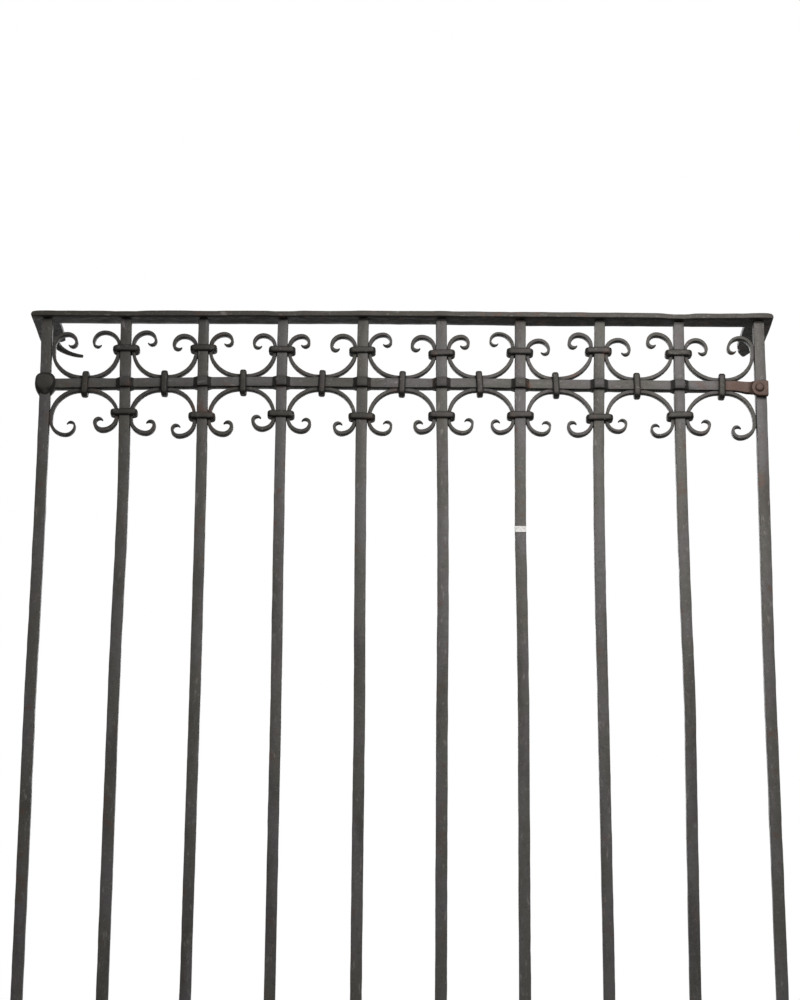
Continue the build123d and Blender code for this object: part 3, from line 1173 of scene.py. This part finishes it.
@dataclass
class Collars(SubAssembly):
    """Collars wrapped hot round a bar or a rail and the scrolls against it."""

    blows_mm: tuple = ((12, 1.0),)
    wide: float = 12.5 * MM
    deep: float = 30.4 * MM
    bar_long: float = 50.8 * MM
    rail_long: float = 48.8 * MM
    wall: float = 5 * MM
    side_wall: float = 9 * MM
    corner: float = 9 * MM
    roll: float = 3.8 * MM
    edge: float = 0.5 * MM
    from_rail: float = 63.45 * MM
    # Most that a collar on a bar tilts and nods, and that one on a rail tilts, in degrees
    tilt: float = 2.2
    nod: float = 1.5
    rail_tilt: float = 3.0

    def forge(self, long: float) -> Workpiece:
        """Make a collar lying flat round the origin, its long side along X.

        Args:
            long: Length over its ends.

        Returns:
            The closed collar.
        """
        ring = Workpiece.block("collar pattern", (long, self.deep, self.wide), (0, 0, 0))
        half = self.wide / 2 - CLOSE
        ring.pick(Pick.EDGES, lambda m, way: abs(way.z) > 0.99)
        bpy.ops.mesh.bevel(offset=self.corner, segments=4, affect="EDGES")
        ring.pick(Pick.EDGES, lambda m, way: abs(m.z) > half)
        bpy.ops.mesh.bevel(offset=self.roll, segments=4, affect="EDGES")
        ring.pick(Pick.FACES, lambda m, n: abs(m.z) > half and abs(n.z) > 0.99)
        bpy.ops.mesh.inset(thickness=self.wall - self.roll)
        ring.grow(((long - 2 * self.side_wall) / (long - 2 * self.wall), 1, 1), (0, 0, 0))
        bpy.ops.mesh.bridge_edge_loops()
        ring.mend()
        ring.ease_edges(self.edge, 50, 1)
        return ring

    def wrap(self, node: str, long: float, places: Sequence[Matrix]) -> None:
        """Put a collar at each of several places, all as one piece.

        Args:
            node: Name of the node that they stand for.
            long: Length of a collar over its ends.
            places: Turn and shift of each collar from the origin.
        """
        pattern = self.forge(long)
        collars = [pattern.copy("collar", place) for place in places]
        pattern.discard()
        self.hand_over(join(f"forged_{node}", collars), node)

    def build(self, band: Band) -> None:
        """Make a band's collars.

        Args:
            band: The band.
        """
        chance = random.Random(f"{band.name} collars")

        def turn(most: float, axis: str) -> Matrix:
            """Turn about an axis by chance, up to so many degrees either way."""
            return Matrix.Rotation(math.radians(chance.uniform(-most, most)), 4, axis)

        places = []
        for number, shifts in enumerate(zip(band.upper_mm, band.lower_mm), 2):
            for up, shift in zip((1, -1), shifts):
                spot = (bar_x(number), 0, band.level + up * self.from_rail + shift * MM)
                tilt = turn(self.tilt, "Y")
                places.append(Matrix.Translation(spot) @ tilt @ turn(self.nod, "X"))
        self.wrap(f"{band.name}_bar_collars", self.bar_long, places)
        places = []
        upright = Matrix.Rotation(math.radians(90), 4, "Y")
        for bay in band.bays:
            spot = (bay.middle(), 0, band.level + bay.sway * MM)
            places.append(Matrix.Translation(spot) @ turn(self.rail_tilt, "Y") @ upright)
        self.wrap(f"{band.name}_rail_collars", self.rail_long, places)


@dataclass
class Strap(SubAssembly):
    """Repair strap that goes from the rail's broken end to a palm on the last bar."""

    slot: str = "rusty_iron"
    blows_mm: tuple = ((26, 1.6), (9, 0.5))
    start: float = 600.95 * MM
    front: float = -10 * MM
    thick: float = 10 * MM
    half_height: float = 10.1 * MM
    level_run: float = 26 * MM
    level: float = TOP_RAIL - 2.4 * MM
    palm_half: float = 27.5 * MM
    edge: float = 2.2 * MM
    # From the slope's end: way along, back and down in mm of each step, and its growth in height
    palm_mm: tuple = (
        (7, -3.8, -1.7, 1.02),
        (7, -6.4, -1.7, 1.1),
        (6, 0, -1.0, 1.15),
        (8.5, 0, 0, 1.05),
        (8.5, 0, 0, 1.0),
        (3.5, 0, 0, 0.9),
    )

    def build(self) -> None:
        """Make the strap."""
        centre = (self.start + self.level_run / 2, self.front + self.thick / 2, self.level)
        size = (self.level_run, self.thick, 2 * self.half_height)
        strap = Workpiece.block("forged_repair_strap", size, centre)
        strap.divide_along(0, 3)
        strap.divide_along(2, 4)
        strap.divide_along(1, 2)
        strap.pick_end(0, 1)
        slope_mm = (bar_x(BAR_COUNT) - self.palm_half - self.start - self.level_run) / 2 / MM
        level = self.level
        slope = ((slope_mm, 0, -1.3, 1.05), (slope_mm, 0, -1.5, 1.08))
        for along, back, drop, grow in (*slope, *self.palm_mm):
            level += drop * MM
            strap.extrude(Vector((along, back, drop)) * MM, (1, 1, grow), (0, 0, level))
        strap.close()
        strap.ease_edges(self.edge, 40, 3)
        self.hand_over(strap, "repair_strap")


@dataclass
class Rivet(SubAssembly):
    """Rivet through the strap's palm and the last bar, a little left of the bar's middle."""

    slot: str = "rusty_iron"
    blows_mm: tuple = ((8, 0.9),)
    sharp: float = 40.0
    aside: float = 4 * MM
    level: float = TOP_RAIL - 9 * MM
    palm: float = -20.2 * MM
    rear: float = 10 * MM
    radius: float = 5 * MM
    head_radius: float = 8.5 * MM
    front_height: float = 4.3 * MM
    rear_height: float = 2.2 * MM
    # Rise of each step of a head in parts of its height, and its width in parts of the last one's
    dome: tuple = ((0.25, 1.0), (0.35, 0.86), (0.25, 0.74), (0.15, 0.55))

    def build(self) -> None:
        """Make the rivet with its high hammered head and its flat rear head."""
        x = bar_x(BAR_COUNT) - self.aside
        bpy.ops.object.select_all(action="DESELECT")
        bpy.ops.mesh.primitive_cylinder_add(
            vertices=28,
            radius=self.radius,
            depth=self.rear - self.palm,
            location=(x, (self.rear + self.palm) / 2, self.level),
            rotation=(math.radians(90), 0, 0),
        )
        rivet = Workpiece("forged_strap_rivet")
        rivet.open()
        spread = self.head_radius / self.radius
        for way, face, height in (
            (-1, self.palm, self.front_height),
            (1, self.rear, self.rear_height),
        ):
            rivet.pick_end(1, way)
            for rise, grow in ((0, spread), *self.dome):
                rivet.extrude((0, way * height * rise, 0), (grow, 1, grow), (x, face, self.level))
        rivet.close()
        self.hand_over(rivet, "strap_rivet")


@dataclass
class Tape(SubAssembly):
    """Blank strip of paper tape stuck across the front of one bar."""

    blows_mm: tuple = ((5, 0.5),)
    sharp: float = 60.0
    bar: int = 7
    aside: float = 1.3 * MM
    front: float = -10.7 * MM
    level: float = 1.224
    half: float = 10.3 * MM
    height: float = 11.5 * MM
    thick: float = 0.4 * MM
    wrap: float = 5 * MM

    def build(self) -> None:
        """Make the strip, with both its ends folded back along the bar's sides."""
        x = bar_x(self.bar) - self.aside
        size = (2 * self.half, self.thick, self.height)
        tape = Workpiece.block("paper_tape", size, (x, self.front, self.level))
        tape.divide_along(0, 9)
        tape.divide_along(2, 6)
        end = self.half * 0.82
        for side in (-1, 1):
            tape.pick(Pick.FACES, lambda m, n: n.y > 0.9 and side * (m.x - x) > end)
            tape.extrude((0, self.wrap, 0), (1, 1, 0.9), (x, 0, self.level))
        tape.close()
        self.hand_over(tape)


@dataclass
class Studio:
    """Camera, pale floor and soft light."""

    camera_place: Triple = (-2.19 * MM, -4.73675, -0.16602)
    look_up: float = 17.0
    roll: float = 0.33
    sensor: float = 36.0
    focal_px: float = 2655.0
    tall_px: float = 1000.0
    floor_level: float = -1.15
    floor_size: float = 24.0
    # Strength of the world as light, and where the camera or a reflection sees it
    sky: float = 0.26
    white: float = 1.0
    # Name, place, target, size and power of each lamp
    lamps: tuple = (
        ("front lamp", (0.5, -1.05, 1.85), (0.4, 0, 1.3), 0.7, 16.5),
        ("rear lamp", (-0.5, 3.2, 2.2), (0, 0, 1.0), 2.0, 50),
    )

    def build(self) -> None:
        """Set up the whole studio."""
        self.set_camera()
        self.lay_floor()
        self.light()
        bpy.context.scene.view_settings.view_transform = "Standard"

    def set_camera(self) -> None:
        """Place the camera in front of the grille, below its middle, looking up."""
        data = bpy.data.cameras.new("camera")
        data.sensor_width = self.sensor
        data.lens = self.focal_px * self.sensor / self.tall_px
        camera = bpy.data.objects.new("camera", data)
        tilt = Matrix.Rotation(math.radians(90 + self.look_up), 4, "X")
        roll = Matrix.Rotation(math.radians(self.roll), 4, "Z")
        camera.matrix_world = Matrix.Translation(self.camera_place) @ tilt @ roll
        bpy.context.collection.objects.link(camera)
        bpy.context.scene.camera = camera

    def lay_floor(self) -> None:
        """Lay a plain pale floor well below the grille."""
        bpy.ops.object.select_all(action="DESELECT")
        bpy.ops.mesh.primitive_plane_add(
            size=self.floor_size, location=(0, 0, self.floor_level)
        )
        floor = bpy.context.object
        floor.name = "floor"
        material = bpy.data.materials.new("Plaster floor")
        tree = empty_tree(material)
        inputs = {"Base Color": linear("#ecebe9"), "Roughness": 0.9}
        add_node(tree, "OutputMaterial", {"Surface": add_node(tree, "BsdfPrincipled", inputs)})
        floor.data.materials.append(material)

    def light(self) -> None:
        """Give a white background, an even sky and two soft lamps."""
        world = bpy.data.worlds.new("studio")
        bpy.context.scene.world = world
        tree = empty_tree(world)
        rays = add_node(tree, "LightPath").outputs
        seen = rays["Is Camera Ray"]
        for other in ("Is Glossy Ray", "Is Transmission Ray"):
            seen = add_node(tree, "Math", {0: seen, 1: rays[other]}, operation="MAXIMUM")
        sky, white = (
            add_node(tree, "Background", {"Color": (1, 1, 1, 1), "Strength": strength})
            for strength in (self.sky, self.white)
        )
        shown = add_node(tree, "MixShader", {0: seen, 1: sky, 2: white})
        add_node(tree, "OutputWorld", {"Surface": shown})
        for name, place, target, size, power in self.lamps:
            data = bpy.data.lights.new(name, type="AREA")
            data.size = size
            data.energy = power
            lamp = bpy.data.objects.new(name, data)
            lamp.visible_camera = False
            lamp.location = place
            aim = Vector(target) - Vector(place)
            lamp.rotation_euler = aim.to_track_quat("-Z", "Y").to_euler()
            bpy.context.collection.objects.link(lamp)


def measured_bands() -> tuple[Band, Band]:
    """Put down how the two bands of scrolls turned out.

    Returns:
        The top band as measured, and the sill band with the same curls in another order.
    """
    # Shift in mm of the scrolls' shoulders on each bar, up being positive
    upper = (-5, 4.0, 0.6, 1.6, 0.5, -1.2, 1.7, 3.6, -0.5, 0)
    lower = (-8, -0.4, -7.1, -2.6, -7.1, -3.0, -2.7, -6.6, -2.9, -11)
    slips = (0, 1, 2, 0.6, 0.7, -2.6, -7.2, -4.3, 3.2)
    sways = (-4.0, -1.8, 0.9, 0.6, -0.4, 0.5, -0.9, -1.4, -2.0)
    strays = (-5.2, -3.5, -1.2, 1.1, 0.6, -0.4, 0.5, -1.0, -1.3, -1.9, -2.2)
    # Crown, side, straight and weight of the curls: upper left and right, lower left and right
    curls = (
        ((25, 17.3, 14, 6), (28, 21, 6, 4.8), (28, 17.3, 6.8, 4.2), (26, 15, 6.6, 7.5)),
        ((25, 17, 9.5, 5.3), (24, 18.8, 7, 6.6), (28, 16, 10.4, 6.8), (28, 13.7, 9.1, 6)),
        ((26, 14.6, 9.2, 6), (23, 17, 9.2, 5.8), (27, 16, 5.6, 7.4), (22, 17.2, 4.6, 7)),
        ((24, 13.4, 7.1, 6.1), (24, 21, 9, 6.8), (25, 16, 5.8, 6.2), (25, 13.2, 5.3, 6.3)),
        ((26, 14.8, 10.2, 5.6), (24, 18.4, 9.3, 6.6), (26.5, 15.5, 3.5, 4.9), (25, 12, 5, 6.6)),
        ((24, 13.4, 10, 6.3), (27, 15.3, 11, 4.4), (26, 18.8, 5.8, 5.5), (25, 15.2, 5.8, 5.5)),
        ((22.5, 18.9, 2.1, 5.9), (24, 17.6, 11, 7.3), (27, 15.3, 6.4, 5), (28, 17.2, 3, 6.2)),
        ((24, 21.4, 1, 5.6), (28, 16.2, 12.2, 7), (22, 14.7, 1.5, 4.8), (27, 13.5, 8.5, 4.7)),
        ((20, 19.9, 9.4, 6), (24, 21.5, 9.5, 5.6), (25, 16.9, 5.4, 5.8), (28, 13.4, 2, 6.6)),
    )
    top, sill = [], []
    for i, (sizes, slip, sway) in enumerate(zip(curls, slips, sways)):
        lifts = (*upper[i : i + 2], *(-shift for shift in lower[i : i + 2]))
        real = tuple(Curl(*size, lift) for size, lift in zip(sizes, lifts))
        even = tuple(Curl(*size) for size in curls[-1 - i])
        top.append(Bay(i + 1, slip, sway, real[:2], real[2:]))
        sill.append(Bay(i + 1, -slip * 0.5, 0, even[:2], even[2:]))
    upper_collars = (2.1, 4.3, 1.6, 1.2, -3.6, 0.4, 3.6, -0.5)
    lower_collars = (2.2, -4.3, 0.1, -3.8, -0.8, 0.6, -3.3, 1.6)
    return (
        Band("top", TOP_RAIL, 1, strays, top, upper_collars, lower_collars),
        Band("sill", SILL_RAIL, -1, (0.0,) * len(strays), sill),
    )


def main() -> None:
    logging.basicConfig(level=logging.INFO, format="%(name)s: %(message)s")
    top, sill = measured_bands()
    curled = ForgedIron("Forged iron, curled", rubbed="#4e4b4a", rubbed_warm="#4a4842").build()
    waxed = WaxedIron().build()
    lengthwise, upright = (0.3, 1, 1), (1, 1, 0.3)
    beaten = ForgedIron(
        "Forged iron, beaten flat", lengthwise, rubbed="#484542", rubbed_warm="#45423b"
    ).build()
    # The rails' eyes swell out past 12 mm, so they get painted shade in the dark scale colour
    drawn = ForgedIron("Forged iron, drawn lengthwise", lengthwise, proud_from=12 * MM).build()
    tall = ForgedIron("Forged iron, drawn upright", upright).build()
    rusty = RustyIron().build()
    bars = tuple(bar_x(number) for number in range(1, BAR_COUNT + 1))
    Frame(
        beaten,
        bar_tops=tuple((i - 4.5) * 0.15 for i in range(BAR_COUNT)),
        sinks_mm=(0.8, 1.4, 1.6, 2.0, 0.2, 0.2, 1.0, 1.2, 2.8, 0.3),
        front_mm=(-2.2, -2.2, -0.9, 0, 0.3, 0.8, 0.5, 0.4, 0, -0.8, 0.6),
        rear_mm=(-1.4, -1.9, -1.7, -1.1, -0.2, -0.2, -0.8, -2.1, -1.5, -1.6, -1.6),
    ).build(top, TOP_UNDERSIDE, (Tail.HOOKED, Tail.STUBBED))
    Frame(
        beaten,
        bar_tops=bars,
        sinks_mm=(0.6, 1.0, 0.8, 1.2, 0.7, 0.9, 1.1, 0.6, 1.3, 0.5),
        front_mm=(0.4, 0.2, 0, 0.3, 0.1, 0, 0.2, 0.5, 0.3, 0.1, 0.4),
        rear_mm=(0.5, 0.2, 0.1, 0.4, 0.2, 0.3, 0.1, 0.2, 0.5, 0.3, 0.2),
    ).build(sill, SILL_UNDERSIDE, (Tail.WHOLE, Tail.WHOLE))
    Bars(tall).build()
    strap = Strap(rusty)
    Rails(drawn).build(top, strap.start, bars[:1])
    Rails(drawn).build(sill, bars[-1], (bars[0], bars[-1]))
    for band in (top, sill):
        Scrolls(curled).build(band)
    for band in (top, sill):
        Collars(waxed).build(band)
    strap.build()
    Rivet(rusty).build()
    Tape(PaperTape().build()).build()
    Studio().build()


if __name__ == "__main__":
    main()
